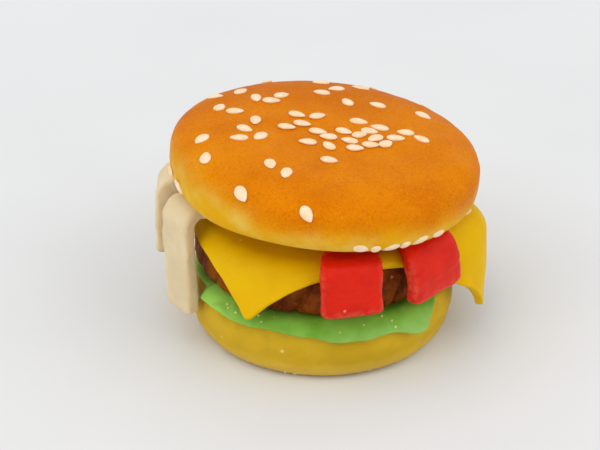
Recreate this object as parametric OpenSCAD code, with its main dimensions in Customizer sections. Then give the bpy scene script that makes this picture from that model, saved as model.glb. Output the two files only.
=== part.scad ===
// Marzipan hamburger: a confectioner's small model of a hamburger, stacked from separate
// pieces of coloured almond paste, with real sesame seeds pressed into the top bun.
//
// Z is up and the origin is the middle of the bottom bun's underside.
// An azimuth is an angle round the stack, from the front (-Y) towards the right (+X).

/* [Bottom bun] */
// Diameter of the bottom bun at its widest
base_d = 51.5; // [44:0.5:62]
// Height of the bottom bun
base_h = 12; // [9:0.5:16]
// Rounding of its lower edge
base_low_round = 4; // [1:0.5:4.5]
// Rounding of its upper edge
base_top_round = 1.5; // [1:0.5:3]
// How far its side swells past a straight wall
base_bulge = 0.6; // [0:0.1:1.5]

/* [Lettuce leaf] */
// Thickness of the green sheet
leaf_t = 1.6; // [1:0.1:2.5]
// How far the sheet runs past the bottom bun's top face, measured along the sheet
leaf_overhang = 3.25; // [3:0.25:7]
// How steeply its edge hangs, where it hangs
leaf_droop = 80; // [50:1:90]

/* [Patty] */
// Diameter of the patty
patty_d = 49; // [42:0.5:59]
// Height of the patty
patty_h = 9.5; // [7:0.5:14]
// Rounding of its edges
patty_round = 2.5; // [1.5:0.5:3.5]
// Number of slanting knife cuts round its side
cut_count = 8; // [4:1:14]
// Width of a knife cut
cut_w = 0.9; // [0.5:0.1:1.5]
// Depth of a knife cut
cut_depth = 0.9; // [0.4:0.1:1.5]
// Slant of a knife cut from upright
cut_slant = 25; // [0:1:40]

/* [Cheese slice] */
// Thickness of the yellow sheet
cheese_t = 1.8; // [1.2:0.1:2.6]
// Length of its front and back edges
cheese_w = 65.5; // [54:0.5:72]
// Length of its side edges
cheese_l = 46; // [44:0.5:50]
// Turn of the slice about the stack
cheese_turn = 18; // [0:1:30]
// How far its front edge lies in front of the stack's axis
cheese_front = 23.7; // [22:0.1:27]
// How far its left edge lies from the stack's axis
cheese_left = 25.2; // [24:0.1:30]
// Steepness of the hanging front corner
cheese_droop = 65; // [55:1:80]
// How far the right corner stands off the patty before it hangs
cheese_shelf = 5.2; // [2:0.5:8]

/* [Strips] */
// Thickness of a red strip
red_t = 2.8; // [2:0.1:3.5]
// Thickness of a white strip
white_t = 2.8; // [2:0.1:4]
// Width of the front red strip
red_front_w = 11.5; // [8:0.5:14]
// Width of the side red strip
red_side_w = 13.5; // [8:0.5:14]
// Width of the front white strip
white_front_w = 8; // [5:0.5:9]
// Width of the rear white strip
white_rear_w = 8.5; // [6:0.5:10]
// How far the red strips hang down from their tops
red_hang = 11; // [8:0.5:13]
// How far the front white strip hangs down
white_front_hang = 23.3; // [12:0.1:26]
// How far the rear white strip hangs down
white_rear_hang = 17.5; // [12:0.5:26]

/* [Top bun] */
// Diameter of the top bun
bun_d = 59; // [54:0.5:72]
// Height of its crown above its widest part
crown_h = 7; // [6:0.5:12]
// Height of its widest part above its flat underside
rim_h = 4.5; // [3:0.5:6]
// How square its shoulder is: 2 is an ellipse, more is squarer
shoulder = 3.6; // [2:0.1:4]
// Tilt down towards the right
bun_roll = 5.25; // [0:0.25:8]
// Tilt up at the front
bun_pitch = 2.6; // [0:0.2:4]
// How far it sits forward of the stack's axis
bun_forward = 1.6; // [0:0.2:3]

/* [Sesame seeds] */
// Length of a seed
seed_l = 3.5; // [3:0.1:4]
// Width of a seed
seed_w = 2.1; // [1.7:0.1:2.4]
// Thickness of a seed
seed_t = 1.1; // [0.8:0.1:1.4]
// Share of a seed's thickness that is pressed into the paste
seed_sink = 0.35; // [0.2:0.05:0.5]

/* [Hidden] */
$fn = 96;

// Air between a piece and the one that it is laid on or hangs beside.
gap = 0.1;
drape_gap = 0.4;

base_r = base_d / 2;
patty_r = patty_d / 2;
bun_r = bun_d / 2;
// What hangs over the edge clears both the patty and the leaf that hangs over the bottom bun.
core_r = max(patty_r, base_r - base_bulge - 0.65);

// Heights of the stack, from the bottom up.
leaf_z = base_h + gap;
patty_z = leaf_z + leaf_t + gap;
cheese_z = patty_z + patty_h + gap;
strip_z = cheese_z + cheese_t + gap;
red_top_z = strip_z + red_t;

// The side red strip is flat as far out as red_rest_r, and its outer corner there is at red_rest.
red_side_azimuth = 47;
red_side_bend = red_t + 4.8;
red_face_r = core_r + 2 * drape_gap + cheese_t + red_t;
red_rest_r = red_face_r - red_side_bend;
red_rest = [
    red_rest_r * sin(red_side_azimuth) + red_side_w / 2 * cos(red_side_azimuth),
    -red_rest_r * cos(red_side_azimuth) + red_side_w / 2 * sin(red_side_azimuth),
];

// The top bun rests on that corner at one side and on the fold of the rear white strip at the
// other, whichever holds it higher.
white_front_face_r = core_r + 2 * drape_gap + cheese_t + white_t - 0.3;
white_rear_face_r = white_front_face_r + 2.4;
white_bend = white_t + 2.2;
white_crest_r = white_rear_face_r - white_bend;
on_red_z = red_top_z + gap + red_rest[0] * tan(bun_roll) + (red_rest[1] + bun_forward) * tan(bun_pitch);
on_white_z = strip_z + white_t + gap - white_crest_r * tan(bun_roll);
bun_z = max(on_red_z, on_white_z);

function unit(v) = v / norm(v);
function clamp01(x) = max(0, min(1, x));
function smooth(x) = let (c = clamp01(x)) c * c * (3 - 2 * c);
function bell(x) = exp(-x * x);
function heading(az) = [sin(az), -cos(az)];
function azimuth(p) = atan2(p[0], -p[1]);
// The signed difference of two azimuths, from -180 to 180.
function turn_between(a, b) = let (d = (a - b) % 360) d > 180 ? d - 360 : d < -180 ? d + 360 : d;

// A quarter of an ellipse as profile points, from angle a to angle b.
function arc(centre, rx, ry, a, b, steps = 8) =
    [for (k = [0:steps]) let (t = a + (b - a) * k / steps) centre + [rx * cos(t), ry * sin(t)]];

// ---- Draped sheets ----

// Where a point of a flat sheet goes, rho from the axis, once the sheet is bent downwards
// past radius start, round a bend of the given radius, to the given droop angle.
function drape(az, rho, z, start, bend, droop) =
    let (
        past = max(0, rho - start),
        turned = min(abs(droop), past / bend * 180 / PI),
        straight = past - bend * turned * PI / 180,
        r = min(rho, start) + bend * sin(turned) + straight * cos(turned),
        drop = bend * (1 - cos(turned)) + straight * sin(turned)
    )
    [r * sin(az), -r * cos(az), z - sign(droop) * drop];

// A closed sheet of thickness t. rings[i][j] is a point of its middle surface: i runs once
// round the sheet, and j runs outwards from a flat middle that one face closes.
module closed_sheet(rings, t) {
    n = len(rings);
    m = len(rings[0]);
    function at(i, j) = rings[(i + n) % n][max(0, min(m - 1, j))];
    function normal(i, j) = unit(cross(at(i, j + 1) - at(i, j - 1), at(i + 1, j) - at(i - 1, j)));
    function id(side, i, j) = (side * n + (i + n) % n) * m + j;
    points = [
        for (side = [0, 1], i = [0:n - 1], j = [0:m - 1])
            at(i, j) + (side == 0 ? t / 2 : -t / 2) * normal(i, j)
    ];
    faces = [
        [for (i = [0:n - 1]) id(0, n - 1 - i, 0)],
        [for (i = [0:n - 1]) id(1, i, 0)],
        for (i = [0:n - 1], j = [0:m - 2]) each [
            [id(0, i, j), id(0, i + 1, j), id(0, i + 1, j + 1)],
            [id(0, i, j), id(0, i + 1, j + 1), id(0, i, j + 1)],
            [id(1, i, j), id(1, i + 1, j + 1), id(1, i + 1, j)],
            [id(1, i, j), id(1, i, j + 1), id(1, i + 1, j + 1)],
        ],
        for (i = [0:n - 1]) each [
            [id(0, i, m - 1), id(0, i + 1, m - 1), id(1, i + 1, m - 1)],
            [id(0, i, m - 1), id(1, i + 1, m - 1), id(1, i, m - 1)],
        ],
    ];
    polyhedron(points, faces, convexity = 6);
}

// ---- Bottom bun ----

module bottom_bun() {
    straight_r = base_r - base_bulge;
    profile = [
        [0, 0],
        each arc([straight_r - base_low_round, base_low_round], base_low_round, base_low_round, -90, -10),
        each [for (k = [1:7]) let (s = k / 8)
            [straight_r + base_bulge * sin(180 * s), base_low_round + (base_h - base_low_round - base_top_round) * s]],
        each arc([straight_r - base_top_round, base_h - base_top_round], base_top_round, base_top_round, 10, 90),
        [0, base_h],
    ];
    color("#c9a83c")
    rotate_extrude()
    polygon(profile);
}

// ---- Lettuce leaf ----

leaf_columns = 7;
leaf_rays = 96;
leaf_start = base_r - base_bulge - base_top_round;
leaf_bend = base_top_round + drape_gap + leaf_t / 2;
// The leaf is cut off straight on the right, and a lobe of its edge turns up at the left.
leaf_cut_x = 20.9;
leaf_cut_from = 20;
leaf_cut_to = 96;
// It is tucked in behind the white strips.
leaf_tuck_from = -118;
leaf_tuck_to = -55;
lobe_azimuth = -48;
lobe_width = 6;
lobe_lift = 25;

function leaf_edge(az) =
    let (
        corner = 2.2 * bell((az - 42) / 8),
        full = leaf_start + leaf_overhang + corner + 0.6 * sin(3 * az + 20) + 0.35 * sin(7 * az),
        cut = leaf_cut_x / sin(az),
        bare = core_r - 0.3
    )
    az > leaf_cut_from && az < leaf_cut_to ? min(full, max(cut, bare))
    : az > leaf_tuck_from && az < leaf_tuck_to ? min(full, bare)
    : full;

function lobe(az) = bell(turn_between(az, lobe_azimuth) / lobe_width);

function leaf_angle(az) =
    let (
        behind = smooth((abs(az) - 100) / 20),
        waved = leaf_droop - behind * (30 + 30 * sin(6 * az))
    )
    waved - (waved + lobe_lift) * lobe(az);

// The lobe only turns up once it is clear of the patty's underside.
function leaf_bend_from(az) = leaf_start + max(0, core_r - leaf_start - 0.85) * lobe(az);

module lettuce_leaf() {
    flat_r = leaf_start - 1;
    mid_z = leaf_z + leaf_t / 2;
    rings = [
        for (i = [0:leaf_rays - 1])
            let (az = 360 * i / leaf_rays - 180, edge = leaf_edge(az))
            [for (j = [0:leaf_columns])
                drape(az, flat_r + (edge - flat_r) * j / leaf_columns, mid_z, leaf_bend_from(az), leaf_bend, leaf_angle(az))]
    ];
    color("#6fbf5a")
    closed_sheet(rings, leaf_t);
}

// ---- Patty ----

module knife_cut() {
    translate([patty_r - cut_depth, 0, patty_h / 2])
    rotate([cut_slant, 0, 0])
    translate([0, -cut_w / 2, -patty_h])
    cube([2 * cut_depth, cut_w, 2 * patty_h]);
}

module patty() {
    profile = [
        [0, 0],
        each arc([patty_r - patty_round, patty_round], patty_round, patty_round, -90, 0),
        each arc([patty_r - patty_round, patty_h - patty_round], patty_round, patty_round, 0, 90),
        [0, patty_h],
    ];
    first_cut = -98;
    color("#7a4314")
    translate([0, 0, patty_z])
    difference() {
        rotate_extrude()
        polygon(profile);
        for (k = [0:cut_count - 1])
            rotate([0, 0, first_cut + 360 * k / cut_count])
            knife_cut();
    }
}

// ---- Cheese slice ----

cheese_columns = 12;
cheese_rays_a_side = 16;
cheese_bend = patty_round + drape_gap + cheese_t / 2;
// The right corner hangs straight down from a shelf that stands out past the bun. The others
// hang more gently, from the patty's edge, but the side red strip presses its stretch in.
shelf_azimuth = 84;
shelf_rise = 24;
shelf_fall = 30;

function shelf(az) =
    let (d = turn_between(az, shelf_azimuth))
    d < 0 ? smooth(1 + d / shelf_rise) : smooth(1 - d / shelf_fall);

function cheese_corner(x, y) =
    [x * cos(cheese_turn) - y * sin(cheese_turn), x * sin(cheese_turn) + y * cos(cheese_turn)];

function cheese_place(p) =
    let (
        az = azimuth(p),
        out = shelf(az),
        start = core_r - patty_round + cheese_shelf * out,
        pressed = bell(turn_between(az, red_side_azimuth) / 18),
        droop = cheese_droop + (90 - cheese_droop) * max(out, pressed)
    )
    drape(az, norm(p), cheese_z + cheese_t / 2, start, cheese_bend, droop);

module cheese_slice() {
    corners = [
        cheese_corner(-cheese_left, -cheese_front),
        cheese_corner(-cheese_left + cheese_w, -cheese_front),
        cheese_corner(-cheese_left + cheese_w, -cheese_front + cheese_l),
        cheese_corner(-cheese_left, -cheese_front + cheese_l),
    ];
    edge = [
        for (c = [0:3], k = [0:cheese_rays_a_side - 1])
            corners[c] + (corners[(c + 1) % 4] - corners[c]) * k / cheese_rays_a_side
    ];
    flat_r = min(cheese_front, cheese_left, cheese_l - cheese_front) - 2;
    rings = [
        for (p = edge)
            [for (j = [0:cheese_columns])
                cheese_place(unit(p) * (flat_r + (norm(p) - flat_r) * pow(j / cheese_columns, 1.2)))]
    ];
    color("#f2c40c")
    closed_sheet(rings, cheese_t);
}

// ---- Strips ----

// The slope of the straight line that leaves a point and meets the top of a circle.
function slope_over(start, centre, radius) =
    let (d = centre - start) atan2(d[1], d[0]) + asin(radius / norm(d));

// The middle line of a strip, seen from its side, as [distance from the axis, height]: it lies
// on floor_z at inner_r, runs out over a bend and hangs to end_z, leaning inwards as it falls.
// The outside of the bend reaches face_r and top_z.
function strip_line(t, inner_r, floor_z, face_r, top_z, bend, lean, end_z) =
    let (
        mid_bend = bend - t / 2,
        start = [inner_r, floor_z + t / 2],
        centre = [face_r - bend, top_z - bend],
        turned = arc(centre, mid_bend, mid_bend, 90 + slope_over(start, centre, mid_bend), -lean, 12),
        last = turned[len(turned) - 1],
        hang = last[1] - end_z
    )
    [start, each turned, last + [-hang * tan(lean), -hang]];

function line_normal(line, k) =
    let (
        a = line[max(0, k - 1)],
        b = line[min(len(line) - 1, k + 1)],
        along = unit(b - a)
    )
    [-along[1], along[0]];

// A strip of paste with its width across the given azimuth, moved sideways by shift.
module strip(az, shift, width, t, line) {
    count = len(line);
    outer = [for (k = [0:count - 1]) line[k] + line_normal(line, k) * t / 2];
    inner = [for (k = [count - 1:-1:0]) line[k] - line_normal(line, k) * t / 2];
    rotate([0, 0, az - 90])
    translate([0, shift, 0])
    rotate([90, 0, 0])
    linear_extrude(width, center = true)
    polygon([each outer, each inner]);
}

red_inner_r = 8;
red_front_azimuth = 10.5;
red_front_bend = red_t + 1;
red_lean = 3;
// The side strip starts just outside the front one, so that their flat ends don't cross.
red_apart = red_side_azimuth - red_front_azimuth;
red_side_inner_r = (red_front_w / 2 + 0.4 + red_side_w / 2 * cos(red_apart)) / sin(red_apart);

module red_strip_front() {
    line = strip_line(red_t, red_inner_r, strip_z, red_face_r, red_top_z, red_front_bend, 0, red_top_z - red_hang);
    color("#d42a1c")
    strip(red_front_azimuth, 0, red_front_w, red_t, line);
}

module red_strip_side() {
    line = strip_line(
        red_t, red_side_inner_r, strip_z, red_face_r,
        red_top_z, red_side_bend, red_lean, red_top_z - red_hang - 0.6
    );
    color("#d42a1c")
    strip(red_side_azimuth, 0, red_side_w, red_t, line);
}

// The white strips lie side by side, and their folds stand up off the cheese: the rear one's as
// far as the bun's raised side. The front one starts where its width clears the rear one.
white_front_azimuth = -55;
white_front_shift = -7.5;
white_front_rise = 2.5;
white_rear_azimuth = -90;
white_rear_shift = -1.7;
white_rear_inner_r = 17;
white_rear_near_y = white_rear_shift + white_rear_w / 2;
// Behind the bun's middle its underside dips, unless the fold stands under the rounded rim.
white_rear_behind = white_rear_w / 2 - white_rear_shift + bun_forward;
white_rear_dip = max(0, white_rear_behind * tan(bun_pitch) - under_rim(norm([white_crest_r, white_rear_behind])));
white_rear_top_z = bun_z + white_crest_r * tan(bun_roll) - white_rear_dip - 2 * gap;
white_front_far = white_front_w / 2 - white_front_shift;
white_front_inner_r = (white_rear_near_y + 0.2 + white_front_far * sin(-white_front_azimuth))
    / cos(white_front_azimuth);
// Its inner end slopes, so it is let down until its lower edge lies on the cheese.
white_front_bend = white_t + 1.4;
white_front_top_z = strip_z + white_t + white_front_rise;
white_front_slope = slope_over(
    [white_front_inner_r, strip_z + white_t / 2],
    [white_front_face_r - white_front_bend, white_front_top_z - white_front_bend],
    white_front_bend - white_t / 2
);
white_front_floor_z = strip_z - white_t / 2 * (1 - cos(white_front_slope));

module white_strip_front() {
    line = strip_line(
        white_t, white_front_inner_r, white_front_floor_z, white_front_face_r,
        white_front_top_z, white_front_bend, 0, white_front_top_z - white_front_hang
    );
    color("#e6d3ac")
    strip(white_front_azimuth, white_front_shift, white_front_w, white_t, line);
}

module white_strip_rear() {
    line = strip_line(
        white_t, white_rear_inner_r, strip_z, white_rear_face_r,
        white_rear_top_z, white_bend, -1, white_rear_top_z - white_rear_hang
    );
    color("#e6d3ac")
    strip(white_rear_azimuth, white_rear_shift, white_rear_w, white_t, line);
}

// ---- Top bun ----

// A point of the bun's outline, as [radius, height]: latitude 0 is the middle of the crown,
// 90 the widest part and 180 the edge of the flat underside.
function bun_outline(latitude) =
    latitude <= 90
        ? [bun_r * pow(sin(latitude), 2 / shoulder), rim_h + crown_h * pow(cos(latitude), 2 / shoulder)]
        : [bun_r - rim_h * (1 - sin(latitude)), rim_h * (1 + cos(latitude))];

// How far the rounded rim has risen above the flat underside at a distance from the bun's middle.
function under_rim(r) =
    let (past = max(0, min(rim_h, r - bun_r + rim_h))) rim_h - sqrt(rim_h * rim_h - past * past);

module on_stack() {
    translate([0, -bun_forward, bun_z])
    rotate([-bun_pitch, bun_roll, 0])
    children();
}

module top_bun() {
    steps = 40;
    profile = [[0, 0], for (k = [steps:-1:0]) bun_outline(180 * k / steps)];
    color("#e08a14")
    on_stack()
    rotate_extrude()
    polygon(profile);
}

// ---- Sesame seeds ----

// A flat drop, pointed towards +X, lying on Z = 0.
module seed() {
    rings = 4;
    sides = 6;
    function half_width(s) = seed_w / 2 * pow(sin(180 * pow(s, 0.8)), 0.7);
    points = [
        [-seed_l / 2, 0, 0],
        for (k = [1:rings], a = [0:sides - 1])
            let (s = k / (rings + 1), w = half_width(1 - s))
            [seed_l * (s - 0.5), w * cos(360 * a / sides), w * seed_t / seed_w * sin(360 * a / sides)],
        [seed_l / 2, 0, 0],
    ];
    function id(k, a) = 1 + (k - 1) * sides + (a + sides) % sides;
    tip = len(points) - 1;
    faces = [
        for (a = [0:sides - 1]) each [
            [0, id(1, a), id(1, a + 1)],
            [tip, id(rings, a + 1), id(rings, a)],
        ],
        for (k = [1:rings - 1], a = [0:sides - 1]) each [
            [id(k, a), id(k + 1, a), id(k + 1, a + 1)],
            [id(k, a), id(k + 1, a + 1), id(k, a + 1)],
        ],
    ];
    polyhedron(points, faces);
}

// A seed lying on the bun at an azimuth and a latitude, pointed along its own turn.
module seed_at(az, latitude, turn) {
    here = bun_outline(latitude);
    ahead = bun_outline(min(180, latitude + 1)) - bun_outline(max(0, latitude - 1));
    slope = atan2(-ahead[1], ahead[0]);
    rotate([0, 0, az - 90])
    translate([here[0], 0, here[1]])
    rotate([0, slope, 0])
    rotate([0, 0, turn])
    translate([0, 0, seed_t * (0.5 - seed_sink)])
    seed();
}

// The latitude of the crown at a distance from its middle.
function latitude_at(r) = asin(pow(clamp01(r / bun_r), shoulder / 2));

// Seeds seen from above, as [x, y, turn] with the middle of the crown at [0, 0]. The turn is
// the way that the pointed end lies, and the places are those on a bun of 30 mm radius.
cluster_places = [
    [-2, -1, 175], [0, -3, 10], [3, 0, 170], [6, -1, 30], [8, 1, 175], [9, -2, 50], [13, -1, 10],
    [15, 2, 170], [18, 0, -25], [-4, -6, 185], [0, -7, -60], [4, -4, 150], [5, -7, 0], [8, -5, 10],
    [11, -4, 60], [6, 5, 170], [10, 3, -20],
];
left_places = [
    [-22, 15, 170], [-21, 8, 60], [-18, 6, 0], [-14, 2, 75], [-16, -2, 140], [-13, -5, 45], [-17, -6, -5],
    [-24, -6, 50], [-23, -13, 80], [-6, 6, 175], [-2, 6, 20], [-5, 2, -20], [-8, 0, 5],
];
back_places = [
    [-1, 25, 10], [2, 21, 10], [7, 24, 170], [-1, 18, 160], [4, 14, 120], [10, 14, 150], [19, 12, -45],
    [-17, 17, 60], [-14, 13, 100], [-11, 12, 10], [-9, 15, 30], [-12, 26, 130], [10, 27, 60], [20, 21, 100],
];
front_places = [
    [0, -13, 0], [-11, -16, 110], [-8, -19, 85], [-16, -24, 100], [-4, -29, 120],
];
// Seeds caught under the rim, as [azimuth, latitude, turn], with turn 0 pointing down the bun.
rim_places = [
    [-78, 104, 90], [-68, 112, 60], [13, 127, 80], [19, 136, 20], [25, 134, 100], [31, 134, 25],
    [37, 126, 110], [46, 124, 80], [72, 138, 60],
];

module on_crown(places) {
    for (p = places)
        let (here = [p[0], p[1]] * bun_r / 30, az = azimuth(here))
        seed_at(az, latitude_at(norm(here)), p[2] - az + 90);
}

module seed_color() {
    color("#f3dcb4")
    on_stack()
    children();
}

module seeds_cluster() {
    seed_color()
    on_crown(cluster_places);
}

module seeds_left() {
    seed_color()
    on_crown(left_places);
}

module seeds_back() {
    seed_color()
    on_crown(back_places);
}

module seeds_front() {
    seed_color()
    on_crown(front_places);
}

module seeds_rim() {
    seed_color()
    for (p = rim_places) seed_at(p[0], p[1], p[2]);
}

bottom_bun();
lettuce_leaf();
patty();
cheese_slice();
red_strip_front();
red_strip_side();
white_strip_front();
white_strip_rear();
top_bun();
seeds_cluster();
seeds_left();
seeds_back();
seeds_front();
seeds_rim();
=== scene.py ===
import math
import random

import bmesh
import bpy
import numpy as np
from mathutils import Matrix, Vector, noise


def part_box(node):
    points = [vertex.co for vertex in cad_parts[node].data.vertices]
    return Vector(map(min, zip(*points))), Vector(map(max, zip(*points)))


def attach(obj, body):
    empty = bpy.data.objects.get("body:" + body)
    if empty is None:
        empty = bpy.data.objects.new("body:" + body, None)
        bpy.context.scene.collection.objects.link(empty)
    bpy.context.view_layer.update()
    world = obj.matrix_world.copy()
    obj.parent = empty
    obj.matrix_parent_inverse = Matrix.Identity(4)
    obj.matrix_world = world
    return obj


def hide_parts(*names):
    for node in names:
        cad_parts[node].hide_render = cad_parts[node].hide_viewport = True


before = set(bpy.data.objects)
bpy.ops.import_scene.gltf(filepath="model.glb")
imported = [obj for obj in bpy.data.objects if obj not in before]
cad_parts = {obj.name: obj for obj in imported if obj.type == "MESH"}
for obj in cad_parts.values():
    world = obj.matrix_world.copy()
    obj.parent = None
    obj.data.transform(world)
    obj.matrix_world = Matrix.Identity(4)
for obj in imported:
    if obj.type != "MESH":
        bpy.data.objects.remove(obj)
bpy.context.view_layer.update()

# Shapes are worked out in millimetres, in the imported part's frame. new_piece turns them into metres.
MM = 0.001

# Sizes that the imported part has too. Azimuths are in degrees, from the front towards the right.
PATTY_R = 24.5
PATTY_ROUND = 2.5
BASE_R = 25.75
BASE_BULGE = 0.6
BASE_FOOT_ROUND = 4.0
BASE_TOP_ROUND = 1.5
BASE_WALL_R = BASE_R - BASE_BULGE
LEAF_T = 1.6
LEAF_OVERHANG = 3.25
LEAF_CUT_X = 20.9
CHEESE_T = 1.8
CHEESE_W = 65.5
CHEESE_L = 46.0
CHEESE_TURN = math.radians(18)
CHEESE_FRONT = 23.7
CHEESE_LEFT = 25.2
CHEESE_SHELF = 5.2
RED_T = 2.8
WHITE_T = 2.8
DRAPE_GAP = 0.4


# ---- Small tools ----

def smooth(x):
    """0 to 1 with a soft start and end."""
    c = min(1.0, max(0.0, x))
    return c * c * (3 - 2 * c)


def bell(x):
    return math.exp(-x * x)


def turn_between(a, b):
    """The signed difference of two azimuths in degrees, from -180 to 180."""
    return (a - b + 180) % 360 - 180


def azimuth(x, y):
    return math.degrees(math.atan2(x, -y))


def unit(v):
    length = np.linalg.norm(v, axis=-1, keepdims=True)
    return v / np.where(length == 0, 1, length)


def fractal(point, size, octaves=3, seed=0.0):
    """Smooth noise of about -1 to 1, whose largest lumps are about size across."""
    place = Vector(point) / size + Vector((seed, seed * 1.7, -seed))
    return noise.fractal(place, 1.0, 2.0, octaves)


def new_piece(name, points, faces, body, slot_name, material, *nodes):
    """A mesh of the object that rides on a body and stands for the nodes that it replaces."""
    mesh = bpy.data.meshes.new(name)
    mesh.from_pydata((np.asarray(points) * MM).tolist(), [], faces)
    bm = bmesh.new()
    bm.from_mesh(mesh)
    bmesh.ops.recalc_face_normals(bm, faces=bm.faces)
    bm.to_mesh(mesh)
    bm.free()
    mesh.shade_smooth()
    piece = bpy.data.objects.new(name, mesh)
    bpy.context.scene.collection.objects.link(piece)
    piece.data.materials.append(material)
    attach(piece, body)
    if nodes:
        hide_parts(*nodes)
    return piece


def wrapped(columns):
    """Points and faces of a closed skin. Each column runs from one shared pole to the other."""
    columns = np.asarray(columns)
    n, m = columns.shape[:2]
    inner = columns[:, 1:-1].reshape(-1, 3)
    poles = [columns[:, 0].mean(0), columns[:, -1].mean(0)]
    first, last = len(inner), len(inner) + 1
    k = m - 2
    faces = []
    for i in range(n):
        a, b = i * k, (i + 1) % n * k
        faces.append((first, a, b))
        for j in range(k - 1):
            faces.append((a + j, a + j + 1, b + j + 1, b + j))
        faces.append((last, b + k - 1, a + k - 1))
    return np.vstack([inner, poles]), faces


def normals_of(points, faces):
    """The skin's outward direction at each point."""
    mesh = bpy.data.meshes.new("measure")
    mesh.from_pydata(points.tolist(), [], faces)
    bm = bmesh.new()
    bm.from_mesh(mesh)
    bmesh.ops.recalc_face_normals(bm, faces=bm.faces)
    bm.to_mesh(mesh)
    bm.free()
    out = np.zeros(len(points) * 3)
    mesh.vertices.foreach_get("normal", out)
    bpy.data.meshes.remove(mesh)
    return out.reshape(-1, 3)


def roughened(points, faces, lumps, weight=None):
    """Moves a skin in and out by noise. lumps holds (size, height, octaves) in millimetres."""
    out = normals_of(points, faces)
    moved = points.copy()
    for k, p in enumerate(points):
        share = 1.0 if weight is None else weight(p, out[k])
        if share == 0:
            continue
        height = sum(h * fractal(p, size, octaves, 3.1 * size) for size, h, octaves in lumps)
        moved[k] += out[k] * height * share
    return moved


def add_values(piece, name, values):
    """A number for each point of a piece, which its material reads by name."""
    held = piece.data.attributes.new(name, "FLOAT", "POINT")
    held.data.foreach_set("value", np.asarray(values, dtype=np.float32))


# ---- Materials ----

def colour(r, g, b):
    """A screen colour of 0 to 255 as the linear colour that shaders take."""
    parts = [c / 255 for c in (r, g, b)]
    return tuple(c / 12.92 if c <= 0.04045 else ((c + 0.055) / 1.055) ** 2.4 for c in parts) + (1.0,)


class Shader:
    """Builds one material's nodes. A value given to a socket is a number, a colour or a socket."""

    def __init__(self, name):
        self.material = bpy.data.materials.new(name)
        self.material.use_nodes = True
        self.tree = self.material.node_tree
        self.surface = self.tree.nodes["Principled BSDF"]
        self.place = self.tree.nodes.new("ShaderNodeTexCoord").outputs["Object"]

    def put(self, socket, value):
        if isinstance(value, bpy.types.NodeSocket):
            self.tree.links.new(value, socket)
        else:
            socket.default_value = value

    def noise(self, size, detail=3.0, rough=0.5, stretch=None):
        """Noise whose lumps are about size millimetres across."""
        node = self.tree.nodes.new("ShaderNodeTexNoise")
        place = self.place
        if stretch is not None:
            mapping = self.tree.nodes.new("ShaderNodeMapping")
            mapping.inputs["Scale"].default_value = stretch
            self.put(mapping.inputs["Vector"], self.place)
            place = mapping.outputs["Vector"]
        self.put(node.inputs["Vector"], place)
        node.inputs["Scale"].default_value = 1 / (size * MM)
        node.inputs["Detail"].default_value = detail
        node.inputs["Roughness"].default_value = rough
        return node.outputs["Fac"]

    def specks(self, size, share):
        """1 in a share of small round cells about size millimetres apart, and 0 elsewhere."""
        node = self.tree.nodes.new("ShaderNodeTexVoronoi")
        self.put(node.inputs["Vector"], self.place)
        node.inputs["Scale"].default_value = 1 / (size * MM)
        picked = self.tree.nodes.new("ShaderNodeSeparateColor")
        self.put(picked.inputs["Color"], node.outputs["Color"])
        rare = self.math("LESS_THAN", picked.outputs["Red"], share)
        dot = self.ramp(node.outputs["Distance"], (0.12, 1.0), (0.26, 0.0))
        return self.math("MULTIPLY", rare, dot)

    def math(self, kind, a, b):
        node = self.tree.nodes.new("ShaderNodeMath")
        node.operation = kind
        self.put(node.inputs[0], a)
        self.put(node.inputs[1], b)
        return node.outputs[0]

    def ramp(self, value, start, end):
        """Maps value from start's place to end's place onto start's number to end's number."""
        node = self.tree.nodes.new("ShaderNodeMapRange")
        node.interpolation_type = "SMOOTHSTEP"
        self.put(node.inputs["Value"], value)
        node.inputs["From Min"].default_value = start[0]
        node.inputs["From Max"].default_value = end[0]
        node.inputs["To Min"].default_value = start[1]
        node.inputs["To Max"].default_value = end[1]
        return node.outputs["Result"]

    def mix(self, share, a, b):
        """Colour a, with a share of colour b."""
        node = self.tree.nodes.new("ShaderNodeMix")
        node.data_type = "RGBA"
        self.put(node.inputs["Factor"], share)
        self.put(node.inputs[6], a)
        self.put(node.inputs[7], b)
        return node.outputs[2]

    def value(self, name):
        """A number that add_values put on the piece's points."""
        node = self.tree.nodes.new("ShaderNodeAttribute")
        node.attribute_name = name
        return node.outputs["Fac"]

    def along(self, axis):
        """The place along an axis of the frame, in metres."""
        node = self.tree.nodes.new("ShaderNodeSeparateXYZ")
        self.put(node.inputs["Vector"], self.place)
        return node.outputs[axis]

    def bumps(self, *layers):
        """Stacks (value, depth in millimetres) as bumps on the surface."""
        normal = None
        for value, depth in layers:
            node = self.tree.nodes.new("ShaderNodeBump")
            node.inputs["Distance"].default_value = depth * MM
            self.put(node.inputs["Height"], value)
            if normal is not None:
                self.put(node.inputs["Normal"], normal)
            normal = node.outputs["Normal"]
        self.put(self.surface.inputs["Normal"], normal)

    def finish(self, base, rough, inside=0.3, depth=(1.2, 0.7, 0.3), gloss=0.08):
        """Sets colour, roughness and how far light spreads inside the paste, in millimetres."""
        s = self.surface.inputs
        self.put(s["Base Color"], base)
        self.put(s["Roughness"], rough)
        s["Subsurface Weight"].default_value = inside
        s["Subsurface Radius"].default_value = depth
        s["Subsurface Scale"].default_value = MM
        s["Specular IOR Level"].default_value = gloss
        return self.material


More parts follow.
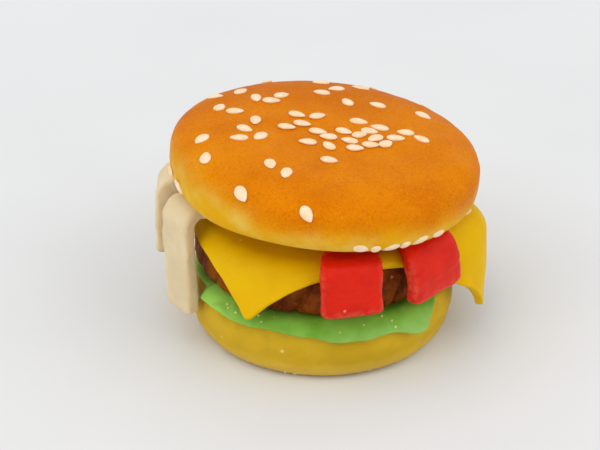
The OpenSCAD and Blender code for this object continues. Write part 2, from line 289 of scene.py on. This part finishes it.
def crown_paste():
    """Yellow paste, airbrushed orange in fine dots over the crown and browner in patches."""
    s = Shader("crown_paste")
    sprayed = s.value("sprayed")
    mottle = s.ramp(s.noise(9, 3), (0.35, 0.0), (0.7, 1.0))
    orange = s.mix(mottle, colour(224, 130, 0), colour(215, 118, 0))
    browned = s.mix(s.value("browned"), orange, colour(190, 92, 0))
    patches = s.ramp(s.noise(5, 3), (0.35, 0.0), (0.7, 1.0))
    pale = s.mix(patches, colour(226, 168, 14), colour(228, 188, 76))
    base = s.mix(sprayed, pale, browned)
    dots = s.math("MULTIPLY", s.ramp(s.noise(0.5, 3), (0.5, 0.0), (0.66, 0.4)), sprayed)
    base = s.mix(dots, base, colour(192, 92, 0))
    base = s.mix(s.ramp(s.noise(0.45, 2), (0.3, 0.35), (0.44, 0.0)), base, colour(236, 158, 20))
    s.bumps((s.noise(2.2, 3), 0.12), (s.noise(0.35, 3, 0.6), 0.07))
    rough = s.ramp(s.noise(4, 3), (0.3, 0.42), (0.7, 0.56))
    return s.finish(base, rough, 0.04, (0.8, 0.5, 0.1), 0.03)


def base_paste():
    """Duller yellow paste with paler patches and a few crumbs of sugar."""
    s = Shader("base_paste")
    patches = s.ramp(s.noise(9, 4), (0.38, 0.0), (0.66, 1.0))
    base = s.mix(patches, colour(212, 172, 38), colour(198, 160, 30))
    uneven_height = s.math("ADD", s.along("Z"), s.math("MULTIPLY", s.noise(3, 3), 2 * MM))
    foot = s.ramp(uneven_height, (1 * MM, 0.45), (6 * MM, 0.0))
    base = s.mix(foot, base, colour(226, 196, 116))
    base = s.mix(s.specks(1.9, 0.03), base, colour(232, 206, 130))
    base = s.mix(s.specks(2.7, 0.02), base, colour(160, 116, 30))
    s.bumps((s.noise(1.8, 3), 0.16), (s.noise(0.35, 3, 0.6), 0.09))
    return s.finish(base, 0.62, 0.1, (1.0, 0.7, 0.1))


def cheese_paste():
    """Even yellow paste with a few paler crumbs."""
    s = Shader("cheese_paste")
    tone = s.ramp(s.noise(8, 3), (0.35, 0.0), (0.7, 1.0))
    base = s.mix(tone, colour(231, 185, 0), colour(224, 174, 0))
    base = s.mix(s.specks(2.2, 0.05), base, colour(246, 212, 60))
    s.bumps((s.noise(3.2, 3), 0.14), (s.noise(0.4, 3, 0.55), 0.04))
    return s.finish(base, s.ramp(s.noise(3, 3), (0.3, 0.45), (0.7, 0.6)), 0.12, (1.2, 0.8, 0.05))


def leaf_paste():
    """Green paste, paler at its edge, with painted light on its left side."""
    s = Shader("leaf_paste")
    tone = s.ramp(s.noise(6, 4), (0.35, 0.0), (0.68, 1.0))
    base = s.mix(tone, colour(130, 182, 68), colour(112, 166, 50))
    # Painted light: the left side is made paler to stand in for light falling on it.
    painted_light_left = s.ramp(s.along("X"), (-22 * MM, 0.8), (-12 * MM, 0.0))
    base = s.mix(painted_light_left, base, colour(160, 216, 94))
    base = s.mix(s.value("edge"), base, colour(156, 198, 108))
    base = s.mix(s.specks(1.5, 0.05), base, colour(190, 216, 140))
    s.bumps((s.noise(1.6, 3), 0.12), (s.noise(0.35, 3, 0.6), 0.06))
    return s.finish(base, 0.42, 0.3, (0.8, 1.2, 0.3))


def patty_paste():
    """Dark brown paste, coarse and damp, with paler crumbs, and painted light on its left side."""
    s = Shader("patty_paste")
    blotch = s.ramp(s.noise(3.5, 5, 0.6), (0.36, 0.0), (0.64, 1.0))
    base = s.mix(blotch, colour(92, 34, 2), colour(132, 64, 8))
    base = s.mix(s.ramp(s.noise(0.9, 3), (0.6, 0.0), (0.72, 0.7)), base, colour(58, 18, 4))
    # Painted light: the left side is made lighter brown to stand in for light falling on it.
    painted_light_left = s.ramp(s.along("X"), (-22 * MM, 0.55), (-10 * MM, 0.0))
    base = s.mix(painted_light_left, base, colour(168, 88, 12))
    base = s.mix(s.specks(1.6, 0.05), base, colour(176, 110, 50))
    s.bumps((s.noise(1.1, 4, 0.6), 0.3), (s.noise(0.3, 3, 0.6), 0.1))
    return s.finish(base, s.ramp(s.noise(1.5, 3), (0.3, 0.45), (0.7, 0.7)), 0.05, (0.6, 0.3, 0.1))


def red_paste():
    """Clear red paste under a pale bloom of sugar, thickest low down and at cut edges."""
    s = Shader("red_paste")
    core = s.mix(s.ramp(s.noise(5, 3), (0.35, 0.0), (0.7, 1.0)), colour(222, 30, 2), colour(204, 22, 2))
    cloud = s.ramp(s.noise(1.2, 4, 0.65), (0.35, 0.0), (0.75, 0.8))
    bloom = s.math("MULTIPLY", s.math("ADD", s.value("edge"), 0.06), cloud)
    base = s.mix(bloom, core, colour(226, 104, 76))
    base = s.mix(s.specks(1.3, 0.03), base, colour(236, 150, 120))
    s.bumps((s.noise(1.8, 4), 0.14), (s.noise(0.4, 3, 0.6), 0.06))
    return s.finish(base, s.ramp(s.noise(1.5, 3), (0.3, 0.34), (0.7, 0.5)), 0.1, (1.6, 0.1, 0.02), 0.16)


def white_paste():
    """Uncoloured paste: cream, slightly clear, with specks of almond skin."""
    s = Shader("white_paste")
    tone = s.ramp(s.noise(6, 4), (0.35, 0.0), (0.7, 1.0))
    base = s.mix(tone, colour(228, 209, 170), colour(220, 200, 160))
    base = s.mix(s.math("MULTIPLY", s.value("edge"), 0.6), base, colour(214, 190, 144))
    base = s.mix(s.specks(3.1, 0.03), base, colour(204, 170, 124))
    s.bumps((s.noise(2.4, 3), 0.16), (s.noise(0.35, 3, 0.6), 0.07))
    return s.finish(base, 0.55, 0.5, (2.2, 1.5, 0.9))


def sesame_skin():
    """Pale, barely shiny seed skin."""
    s = Shader("sesame_skin")
    tone = s.ramp(s.noise(1.4, 3), (0.35, 0.0), (0.7, 1.0))
    base = s.mix(tone, colour(250, 224, 190), colour(244, 210, 168))
    s.bumps((s.noise(0.25, 2), 0.04))
    return s.finish(base, 0.5, 0.3, (1.0, 0.7, 0.4))


def sugar_crumb():
    """Crumbs of sugar and paste."""
    s = Shader("sugar_crumb")
    tone = s.ramp(s.noise(0.8, 2), (0.4, 0.0), (0.6, 1.0))
    base = s.mix(tone, colour(240, 216, 150), colour(226, 190, 110))
    s.bumps((s.noise(0.2, 2), 0.05))
    return s.finish(base, 0.6, 0.3, (1.0, 0.8, 0.4))


# ---- Buns and patty ----

def lathe(profile, around):
    """Columns of a round skin. profile holds (radius, height) from pole to pole."""
    columns = []
    for i in range(around):
        a = 2 * math.pi * i / around
        columns.append([(r * math.sin(a), -r * math.cos(a), z) for r, z in profile])
    return columns


def arc(centre_r, centre_z, radius, start, end, steps=8):
    """Profile points round a quarter turn, in degrees, 0 pointing outwards and 90 up."""
    angles = [math.radians(start + (end - start) * k / steps) for k in range(steps + 1)]
    return [(centre_r + radius * math.cos(a), centre_z + radius * math.sin(a)) for a in angles]


def spread(profile, step):
    """The same profile with points at most step apart."""
    out = [profile[0]]
    for a, b in zip(profile, profile[1:]):
        count = max(1, math.ceil(math.dist(a, b) / step))
        for k in range(1, count + 1):
            out.append(tuple(a[c] + (b[c] - a[c]) * k / count for c in range(2)))
    return out


def make_bottom_bun():
    """A low drum with a slightly bulging side."""
    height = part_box("bottom_bun")[1].z / MM
    foot, top = BASE_FOOT_ROUND, BASE_TOP_ROUND
    straight = height - foot - top
    steps = 12
    side = [
        (BASE_WALL_R + BASE_BULGE * math.sin(math.pi * k / steps), foot + straight * k / steps)
        for k in range(1, steps)
    ]
    profile = [(0, 0), *arc(BASE_WALL_R - foot, foot, foot, -90, 0), *side]
    profile += [*arc(BASE_WALL_R - top, height - top, top, 0, 90), (0, height)]
    points, faces = wrapped(lathe(spread(profile, 0.5), 320))

    def open_side(p, out):
        return smooth((p[2] - 0.3) / 2) * smooth((height - p[2]) / 0.8)

    points = roughened(points, faces, [(16, 0.28, 2), (4, 0.14, 3), (0.9, 0.05, 2)], open_side)
    return new_piece("base_loaf", points, faces, "bottom_bun", "bun_bottom", base_paste(), "bottom_bun")


def make_patty():
    """A coarse disc, scored at even distances and scratched at random."""
    z0, z1 = (corner.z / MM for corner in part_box("patty"))
    mid = (z0 + z1) / 2
    flat_r = PATTY_R - PATTY_ROUND
    profile = [(0, z0), *arc(flat_r, z0 + PATTY_ROUND, PATTY_ROUND, -90, 0)]
    profile += [*arc(flat_r, z1 - PATTY_ROUND, PATTY_ROUND, 0, 90), (0, z1)]
    points, faces = wrapped(lathe(spread(profile, 0.4), 420))
    # Each cut is (azimuth, slant in degrees, depth, half width).
    cuts = [(-8 + 45 * k, 25, 0.9, 0.45) for k in range(8)]
    dice = random.Random(4)
    cuts += [(dice.uniform(-180, 180), dice.uniform(10, 40), 0.35, 0.25) for _ in range(26)]

    def open_side(p, out):
        return smooth((p[2] - z0 + 0.2) / 1.2) * smooth((z1 + 0.2 - p[2]) / 1.2)

    points = roughened(points, faces, [(9, 0.3, 2), (2.2, 0.32, 3), (0.8, 0.1, 2)], open_side)
    for p in points:
        here, radius = azimuth(p[0], p[1]), math.hypot(p[0], p[1])
        if radius < PATTY_R - 4:
            continue
        for place, slant, depth, width in cuts:
            along = (p[2] - mid) * math.tan(math.radians(slant))
            gap = (math.radians(turn_between(here, place)) * radius - along) * math.cos(math.radians(slant))
            if abs(gap) < 4 * width:
                p[:2] *= 1 - depth * bell(gap / width) / radius
    return new_piece("meat_disc", points, faces, "patty", "patty", patty_paste(), "patty")


def bun_seat():
    """The top bun's own axes as the CAD has them: middle of its flat underside, and its upward axis."""
    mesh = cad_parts["top_bun"].data
    largest = max((f for f in mesh.polygons if f.normal.z < -0.9), key=lambda f: f.area)
    up = -largest.normal.normalized()
    level = largest.center.dot(up)
    sole = [v.co for v in mesh.vertices if abs(v.co.dot(up) - level) < 1e-5]
    low = Vector([min(c[k] for c in sole) for k in range(3)])
    high = Vector([max(c[k] for c in sole) for k in range(3)])
    return np.array((low + high) / 2) / MM, np.array(up)


def make_top_bun():
    """A flattened dome on a rounded rim, sagging at its left front, and tilted as the CAD has it."""
    middle, up = bun_seat()
    bun_r = 29.4
    crown = 7.0
    rim = 4.5
    shoulder = 3.8
    sag = 0.8
    steps = 120
    profile = []
    for k in range(steps + 1):
        lat = math.radians(180 * k / steps)
        if lat <= math.pi / 2:
            r = bun_r * math.sin(lat) ** (2 / shoulder)
            z = rim + crown * max(0.0, math.cos(lat)) ** (2 / shoulder)
        else:
            r = bun_r - rim * (1 - math.sin(lat) ** 0.75)
            z = rim * (1 - abs(math.cos(lat)) ** 0.75)
        profile.append((r, z))
    profile[0] = (0, rim + crown)
    profile.append((0, 0))
    points, faces = wrapped(lathe(spread(profile, 0.5), 360))

    def upper(p, out):
        return smooth((p[2] - 0.2) / 2.5)

    points = roughened(points, faces, [(26, 0.3, 2), (7, 0.12, 3), (1.6, 0.03, 2)], upper)
    sprayed, browned = [], []
    for p in points:
        here = azimuth(p[0], p[1])
        outside = smooth((math.hypot(p[0], p[1]) - 25) / 4)
        below = 1 - smooth((p[2] - 3) / 6)
        p[2] -= sag * bell(turn_between(here, -48) / 20) * outside * below
        soft = 1.6 * fractal(p, 9, 3, 5.0)
        # The spray fades out higher up at the left.
        left = bell(turn_between(here, -62) / 34)
        edge = 0.9 + 2.6 * left
        sprayed.append(smooth((p[2] + soft - edge) / (6.4 + 1.4 * left)))
        far = smooth((p[1] - 4) / 22)
        patch = smooth((fractal(p, 13, 3, 2.0) + 0.15) / 0.7)
        browned.append(0.75 * min(1.0, 0.75 * far + 0.3 * patch * bell((p[2] - 9) / 4)))
    side = unit(np.cross(np.array((0, 1.0, 0)), up))
    ahead = np.cross(up, side)
    placed = middle + points @ np.array([side, ahead, up])
    piece = new_piece("crown_loaf", placed, faces, "top_bun", "bun_top", crown_paste(), "top_bun")
    add_values(piece, "sprayed", sprayed)
    add_values(piece, "browned", browned)
    return piece


# ---- Sheets ----

def drape(az, rho, z, start, bend, droop):
    """Where a point of a flat sheet goes once it is bent down past start, to the droop angle."""
    past = max(0.0, rho - start)
    turned = min(abs(droop), past / bend)
    straight = past - bend * turned
    r = min(rho, start) + bend * math.sin(turned) + straight * math.cos(turned)
    fall = bend * (1 - math.cos(turned)) + straight * math.sin(turned)
    a = math.radians(az)
    return (r * math.sin(a), -r * math.cos(a), z - math.copysign(fall, droop))


def thick_sheet(middle, thickness):
    """Columns of a closed sheet round its middle surface, with a cut edge that is barely rounded."""
    middle = np.asarray(middle)
    across = np.gradient(middle, axis=1)
    around = np.roll(middle, -1, 0) - np.roll(middle, 1, 0)
    out = unit(np.cross(around, across))
    out *= np.sign(out[:, :1, 2:3])
    half = thickness / 2
    edge, rim_out, rim_side = middle[:, -1], out[:, -1], unit(across[:, -1])
    rim = []
    for k in range(1, 8):
        a = math.pi * k / 8
        up = math.copysign(abs(math.cos(a)) ** 0.7, math.cos(a))
        rim.append(edge + half[:, -1:] * (rim_out * up + rim_side * math.sin(a) ** 0.7 * 0.8))
    top = middle + out * half[..., None]
    bottom = middle - out * half[..., None]
    pole = middle[:, :1].mean(0, keepdims=True) * np.ones_like(middle[:, :1])
    reach = np.array((0, 0, 1.0)) * half[:, :1, None]
    return np.concatenate([pole + reach, top, np.stack(rim, 1), bottom[:, ::-1], pole - reach], 1)


def leaf_reach(az):
    """How far from the axis the flat leaf would reach."""
    start = BASE_WALL_R - BASE_TOP_ROUND
    corner = 2.6 * bell((az - 42) / 8)
    wave = 0.6 * math.sin(math.radians(3 * az + 20)) + 0.35 * math.sin(math.radians(7 * az))
    full = start + LEAF_OVERHANG + corner + wave
    bare = PATTY_R - 0.3
    if 20 < az < 96:
        return min(full, max(LEAF_CUT_X / math.sin(math.radians(az)), bare))
    if -118 < az < -61:
        return bare
    return full


def make_leaf():
    """The leaf between bottom bun and patty, bent down over the bun's edge and waved."""
    mid_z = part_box("patty")[0].z / MM - 0.1 - LEAF_T / 2
    start = BASE_WALL_R - BASE_TOP_ROUND
    bend = BASE_TOP_ROUND + DRAPE_GAP + LEAF_T / 2
    n, m = 420, 34
    middle, thin = [], []
    for i in range(n):
        az = 360 * i / n - 180
        reach = leaf_reach(az) + 0.25 * fractal((az / 9, 0, 0), 1, 3)
        # Steep at the front, waved behind, and nearly flat in the lobe at the left front.
        behind = smooth((abs(az) - 100) / 20)
        hang = 80 - behind * (30 + 30 * math.sin(math.radians(6 * az)))
        lobe = bell(turn_between(az, -47) / 6)
        flare = 26 * bell((az - 42) / 9) + 12 * bell(turn_between(az, -60) / 4)
        droop = math.radians(hang - (hang - 14) * lobe - flare)
        row = []
        for j in range(m):
            rho = 1.5 + (reach - 1.5) * (j / (m - 1)) ** 0.5
            row.append(drape(az, rho, mid_z, start, bend, droop))
        middle.append(row)
        thin.append([LEAF_T * (1 - 0.22 * smooth((j - 22) / 10)) for j in range(m)])
    points, faces = wrapped(thick_sheet(middle, np.array(thin)))

    def outer(p, out):
        return smooth((math.hypot(p[0], p[1]) - start + 0.4) / 1.2)

    points = roughened(points, faces, [(5, 0.22, 2), (1.4, 0.09, 3)], outer)
    piece = new_piece("green_leaf", points, faces, "lettuce", "lettuce", leaf_paste(), "lettuce_leaf")
    edge = []
    for p in points:
        here = azimuth(p[0], p[1])
        drop = (mid_z - p[2]) / 4
        edge.append(0.7 * smooth(drop + 0.3 * fractal(p, 2.5, 3)) if abs(here) < 130 else 0.0)
    add_values(piece, "edge", edge)
    return piece


def rounded_square():
    """The cheese's outline seen flat, from its left front corner, with worn corners."""
    corners = [
        (-CHEESE_LEFT, -CHEESE_FRONT),
        (CHEESE_W - CHEESE_LEFT, -CHEESE_FRONT),
        (CHEESE_W - CHEESE_LEFT, CHEESE_L - CHEESE_FRONT),
        (-CHEESE_LEFT, CHEESE_L - CHEESE_FRONT),
    ]
    worn, out = 1.6, []
    c, s = math.cos(CHEESE_TURN), math.sin(CHEESE_TURN)
    for k in range(4):
        here = np.array(corners[k])
        before, after = np.array(corners[k - 1]), np.array(corners[(k + 1) % 4])
        a = here + unit(before - here) * worn
        b = here + unit(after - here) * worn
        for t in np.linspace(0, 1, 7):
            out.append(a * (1 - t) ** 2 + here * 2 * t * (1 - t) + b * t * t)
        end = after + unit(here - after) * worn
        for t in np.linspace(0, 1, 76)[1:-1]:
            out.append(b + (end - b) * t)
    return [(p[0] * c - p[1] * s, p[0] * s + p[1] * c) for p in out]


def make_cheese():
    """The square slice, bent down round the patty and flatter towards its free right corner."""
    mid_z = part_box("patty")[1].z / MM + 0.1 + CHEESE_T / 2
    bend = PATTY_ROUND + DRAPE_GAP + CHEESE_T / 2
    m = 44
    middle = []
    for x, y in rounded_square():
        az, reach = azimuth(x, y), math.hypot(x, y)
        off = turn_between(az, 84)
        # It stands out level at the right before it bends, and is pressed down by the side strip.
        shelf = smooth(1 + off / 24) if off < 0 else smooth(1 - off / 30)
        pressed = bell(turn_between(az, 47) / 18)
        start = PATTY_R - PATTY_ROUND + CHEESE_SHELF * shelf
        droop = math.radians(65 + 25 * max(shelf, pressed))
        reach += 0.18 * fractal((x / 6, y / 6, 0), 1, 2)
        row = []
        for j in range(m):
            rho = 1.5 + (reach - 1.5) * (j / (m - 1)) ** 0.75
            row.append(drape(az, rho, mid_z, start, bend, droop))
        middle.append(row)
    thickness = np.full((len(middle), m), CHEESE_T)
    points, faces = wrapped(thick_sheet(middle, thickness))

    def hanging(p, out):
        return smooth((math.hypot(p[0], p[1]) - PATTY_R + 2) / 3)

    points = roughened(points, faces, [(11, 0.3, 2), (3, 0.08, 3)], hanging)
    return new_piece("yellow_slice", points, faces, "cheese", "cheese", cheese_paste(), "cheese_slice")


# ---- Strips ----

def strip_path(t, inner_r, floor_z, face_r, top_z, bend, lean, end_z):
    """The strip's middle line from the side, as (distance from the axis, height), 0.3 mm apart."""
    mid = bend - t / 2
    path = [(inner_r, floor_z + t / 2)]
    across, rise = face_r - bend - inner_r, top_z - bend - path[0][1]
    slope = math.degrees(math.atan2(rise, across) + math.asin(mid / math.hypot(across, rise)))
    path += arc(face_r - bend, top_z - bend, mid, 90 + slope, -lean, 12)
    last = path[-1]
    fall = last[1] - end_z
    path.append((last[0] - fall * math.tan(math.radians(lean)), end_z))
    return spread(path, 0.3)


def make_strip(
    name, node, slot_name, material, path, az, shift, width, t, seed,
    corner=1.6, ragged=0.15, narrow=(0, 0, 0, 1), swell=0.0,
):
    """A strip of paste with softened faces, worn lower corners and uneven cut edges.

    path is its middle line, az its heading, shift its distance from the axis, and t its thickness.
    narrow holds how much narrower its inner part is at the left and at the right, up to where
    along the strip, and over which length it widens. swell thickens the inside of its fold.
    """
    path = np.array(path)
    lengths = np.concatenate([[0], np.cumsum(np.linalg.norm(np.diff(path, axis=0), axis=1))])
    along = unit(np.gradient(path, axis=0))
    out2 = np.stack([-along[:, 1], along[:, 0]], -1)
    a = math.radians(az)
    heading = np.array((math.sin(a), -math.cos(a), 0))
    sideways = np.array((math.cos(a), math.sin(a), 0))
    up = np.array((0, 0, 1.0))
    around = 72
    columns = [[] for _ in range(around)]
    total = lengths[-1]
    for k, s in enumerate(lengths):
        middle = heading * path[k][0] + up * path[k][1] + sideways * shift
        out = heading * out2[k][0] + up * out2[k][1]
        end = min(s, total - s)
        shut = math.sqrt(max(0.0, 1 - (1 - min(1.0, end / (t / 2))) ** 2))
        turned = min(1.0, (total - s) / corner)
        worn = corner * (1 - math.sqrt(max(0.0, 1 - (1 - turned) ** 2)))
        inner = 1 - smooth((s - narrow[2]) / narrow[3])
        left = width / 2 - worn + ragged * fractal((s, seed, 0), 2.5, 4) - narrow[0] * inner
        right = width / 2 - worn + ragged * fractal((s, seed + 9, 0), 2.5, 4) - narrow[1] * inner
        inward = t / 2 * (1 + swell * bell((s - 13) / 4))
        # The section's outline lies between an ellipse and a box.
        for i in range(around):
            q = 2 * math.pi * i / around
            cx = math.copysign(abs(math.cos(q)) ** 0.32, math.cos(q))
            cy = math.copysign(abs(math.sin(q)) ** 0.5, math.sin(q))
            side = right if cx > 0 else left
            deep = t / 2 if cy > 0 else inward
            columns[i].append(middle + sideways * cx * side * (0.55 + 0.45 * shut) + out * cy * deep * shut)
    points, faces = wrapped(columns)

    def hanging(p, out):
        return smooth((math.hypot(p[0], p[1]) - 22) / 4)

    points = roughened(points, faces, [(7, 0.3, 2), (2.2, 0.1, 3), (0.8, 0.05, 2)], hanging)
    piece = new_piece(name, points, faces, "strips", slot_name, material, node)
    values = []
    end_z = path[-1][1]
    for p in points:
        off = abs(np.dot(p, sideways) - shift) / (width / 2)
        low = smooth(1 - (p[2] - end_z) / 2.6)
        worn = max(low, 0.8 * smooth((off - 0.82) / 0.2))
        values.append(min(1.0, worn * (0.8 + 0.4 * fractal(p, 1.5, 2))))
    add_values(piece, "edge", values)
    return piece


def make_strips():
    """Two red and two white strips that start on the cheese and hang over its edge."""
    strip_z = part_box("cheese_slice")[1].z / MM + 0.1
    red_face = PATTY_R + 2 * DRAPE_GAP + CHEESE_T + RED_T
    white_face = PATTY_R + 2 * DRAPE_GAP + CHEESE_T + WHITE_T - 0.3
    red, white = red_paste(), white_paste()
    red_top = strip_z + RED_T
    front_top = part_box("white_strip_front")[1].z / MM
    rear_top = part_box("white_strip_rear")[1].z / MM
    front_bend = WHITE_T + 1.4
    rear_bend = WHITE_T + 2.2
    make_strip(
        "tomato_front", "red_strip_front", "red_strip", red,
        strip_path(RED_T, 8, strip_z, red_face, red_top, RED_T + 1, lean=0, end_z=17),
        az=10.5, shift=0, width=11.5, t=RED_T, seed=1.0, corner=1.2, ragged=0.08,
        narrow=(2.4, 0, 11, 10),
    )
    make_strip(
        "tomato_side", "red_strip_side", "red_strip", red,
        strip_path(RED_T, 19.5, strip_z, red_face, red_top, RED_T + 4.8, lean=3, end_z=16.4),
        az=47, shift=0, width=13.5, t=RED_T, seed=2.0, ragged=0.08,
        narrow=(2.6, 0, 1, 9),
    )
    make_strip(
        "onion_front", "white_strip_front", "white_strip", white,
        strip_path(WHITE_T, 21.2, strip_z - 0.3, white_face, front_top, front_bend, lean=1.5, end_z=7.3),
        az=-55, shift=-7.15, width=8.4, t=WHITE_T, seed=3.0, ragged=0.2,
        narrow=(0, 5, 0, 4),
    )
    make_strip(
        "onion_rear", "white_strip_rear", "white_strip", white,
        strip_path(WHITE_T, 17, strip_z, white_face + 2.4, rear_top, rear_bend, lean=-1, end_z=14.5),
        az=-90, shift=-1.7, width=8.5, t=WHITE_T, seed=4.0, swell=0.9,
    )


# ---- Seeds ----

def islands(node):
    """The points of each separate solid in a CAD node, in millimetres."""
    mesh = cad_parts[node].data
    co = np.zeros(len(mesh.vertices) * 3)
    mesh.vertices.foreach_get("co", co)
    co = co.reshape(-1, 3) / MM
    key = {}
    home = [key.setdefault(tuple(np.round(c, 3)), len(key)) for c in co]
    parent = list(range(len(key)))

    def root(i):
        while parent[i] != i:
            parent[i] = parent[parent[i]]
            i = parent[i]
        return i

    for edge in mesh.edges:
        a, b = (root(home[v]) for v in edge.vertices)
        parent[a] = b
    groups = {}
    for i, c in enumerate(co):
        groups.setdefault(root(home[i]), {})[home[i]] = c
    return [np.array(list(g.values())) for _, g in sorted(groups.items())]


def seed_skin(cloud, dice):
    """A smooth plump drop that lies as a CAD seed's points do."""
    centre = cloud.mean(0)
    spread_axes = np.linalg.svd(cloud - centre)[2]
    long_axis, wide_axis, flat_axis = spread_axes
    span = (cloud - centre) @ spread_axes.T
    length = np.ptp(span[:, 0])
    if abs(span[:, 0].max()) < abs(span[:, 0].min()):
        long_axis = -long_axis
    flat_axis = np.cross(long_axis, wide_axis)
    centre = centre + long_axis * (span[:, 0].max() + span[:, 0].min()) / 2
    turn = math.radians(dice.uniform(-14, 14))
    long_axis, wide_axis = (
        long_axis * math.cos(turn) + wide_axis * math.sin(turn),
        wide_axis * math.cos(turn) - long_axis * math.sin(turn),
    )
    width = np.ptp(span[:, 1]) * dice.uniform(0.98, 1.12)
    thick = np.ptp(span[:, 2])
    length *= dice.uniform(0.94, 1.04)
    n, m = 20, 15
    columns = []
    for i in range(n):
        a = 2 * math.pi * i / n
        column = []
        for j in range(m):
            s = (1 - math.cos(math.pi * j / (m - 1))) / 2
            w = max(0.0, math.sin(math.pi * (1 - s) ** 0.8)) ** 0.62
            column.append(
                centre + long_axis * length * (s - 0.5)
                + wide_axis * width / 2 * w * math.cos(a) + flat_axis * thick / 2 * w * math.sin(a)
            )
        columns.append(column)
    return wrapped(columns)


def make_seeds():
    """One piece for each group of seeds, with a drop in place of each CAD seed."""
    skin = sesame_skin()
    dice = random.Random(7)
    for node in ("seeds_cluster", "seeds_left", "seeds_back", "seeds_front", "seeds_rim"):
        points, faces = [], []
        for cloud in islands(node):
            p, f = seed_skin(cloud, dice)
            faces += [tuple(v + len(points) for v in face) for face in f]
            points += p.tolist()
        new_piece(node.replace("seeds", "sesame"), points, faces, "top_bun", "sesame", skin, node)


# ---- Crumbs ----

def make_crumbs(name, body, slot_name, places, material, dice):
    """Small broken lumps, each half sunk at its place. places holds (x, y, z, size)."""
    points, faces = [], []
    for x, y, z, size in places:
        bm = bmesh.new()
        bmesh.ops.create_icosphere(bm, subdivisions=2, radius=size / 2)
        start, seed = len(points), dice.uniform(0, 50)
        for v in bm.verts:
            lump = 1 + 0.45 * fractal(v.co, size * 0.6, 2, seed)
            points.append((x + v.co.x * lump, y + v.co.y * lump, z + v.co.z * lump * 0.8))
        faces += [tuple(start + v.index for v in face.verts) for face in bm.faces]
        bm.free()
    return new_piece(name, points, faces, body, slot_name, material)


def scatter_crumbs():
    """Crumbs round the bottom bun's foot and on the leaf's front."""
    sugar = sugar_crumb()
    dice = random.Random(11)
    foot = []
    for _ in range(46):
        a = math.radians(dice.uniform(-180, 180))
        z = dice.uniform(0.3, 1.6)
        r = BASE_WALL_R - BASE_FOOT_ROUND + math.sqrt(BASE_FOOT_ROUND**2 - (BASE_FOOT_ROUND - z) ** 2)
        foot.append((r * math.sin(a), -r * math.cos(a), z + 0.1, dice.uniform(0.25, 0.6)))
    make_crumbs("base_crumbs", "bottom_bun", "bun_bottom", foot, sugar, dice)
    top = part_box("patty")[0].z / MM - 0.2
    flat_r = 23.7
    fold = 2.9
    fallen = []
    for _ in range(9):
        a = math.radians(dice.uniform(-46, 40))
        r = dice.uniform(24.8, 26.4)
        drop = fold - math.sqrt(fold**2 - max(0.0, r - flat_r) ** 2)
        fallen.append((r * math.sin(a), -r * math.cos(a), top - drop, dice.uniform(0.35, 0.6)))
    make_crumbs("leaf_crumbs", "lettuce", "lettuce", fallen, sugar, dice)


# ---- Stage ----

def make_stage():
    """A pale floor."""
    bpy.ops.mesh.primitive_plane_add(size=6, location=(0, 0, 0))
    floor = bpy.context.object
    floor.name = "floor"
    s = Shader("floor_card")
    tone = s.ramp(s.noise(60, 2), (0.3, 0.0), (0.7, 1.0))
    base = s.mix(tone, colour(227, 228, 228), colour(230, 231, 231))
    s.put(s.surface.inputs["Base Color"], base)
    s.surface.inputs["Roughness"].default_value = 0.9
    s.surface.inputs["Specular IOR Level"].default_value = 0.1
    floor.data.materials.append(s.material)


def add_area(name, place, target, size, power, tint):
    """A round soft light at a place, in metres, that faces the target."""
    light = bpy.data.lights.new(name, "AREA")
    light.shape = "DISK"
    light.size = size
    light.energy = power
    light.color = tint
    lamp = bpy.data.objects.new(name, light)
    bpy.context.scene.collection.objects.link(lamp)
    lamp.location = place
    lamp.rotation_mode = "QUATERNION"
    lamp.rotation_quaternion = (Vector(target) - Vector(place)).to_track_quat("-Z", "Y")


def light_it():
    """A pale sky and three large soft lights."""
    world = bpy.data.worlds.new("studio")
    world.use_nodes = True
    sky = world.node_tree.nodes["Background"]
    sky.inputs["Color"].default_value = (0.97, 0.98, 1.0, 1)
    sky.inputs["Strength"].default_value = 0.80
    bpy.context.scene.world = world
    warm = (1.0, 0.98, 0.95)
    add_area("key", (-0.6, -0.5, 1.3), (0, 0, 0.02), 1.6, 5.0, warm)
    add_area("left", (-1.2, -0.9, 0.7), (0, 0, 0.02), 1.3, 2.4, warm)
    add_area("right", (1.1, -0.6, 1.1), (0, 0, 0.02), 1.3, 5.8, warm)


def place_camera():
    """A camera in front, looking down from 30 degrees."""
    target = Vector((-4.26, 0, 20)) * MM
    elevation = math.radians(30)
    distance = 0.45
    shown_width = 116.054 * MM
    back = Vector((0, -math.cos(elevation), math.sin(elevation)))
    data = bpy.data.cameras.new("camera")
    camera = bpy.data.objects.new("camera", data)
    bpy.context.scene.collection.objects.link(camera)
    camera.location = target + back * distance
    camera.rotation_mode = "QUATERNION"
    camera.rotation_quaternion = (-back).to_track_quat("-Z", "Y")
    data.sensor_width = 36
    data.lens = data.sensor_width * distance / shown_width
    data.clip_start, data.clip_end = 0.01, 20
    bpy.context.scene.camera = camera


make_bottom_bun()
make_leaf()
make_patty()
make_cheese()
make_strips()
make_top_bun()
make_seeds()
scatter_crumbs()
make_stage()
light_it()
place_camera()
bpy.context.scene.view_settings.view_transform = "Standard"
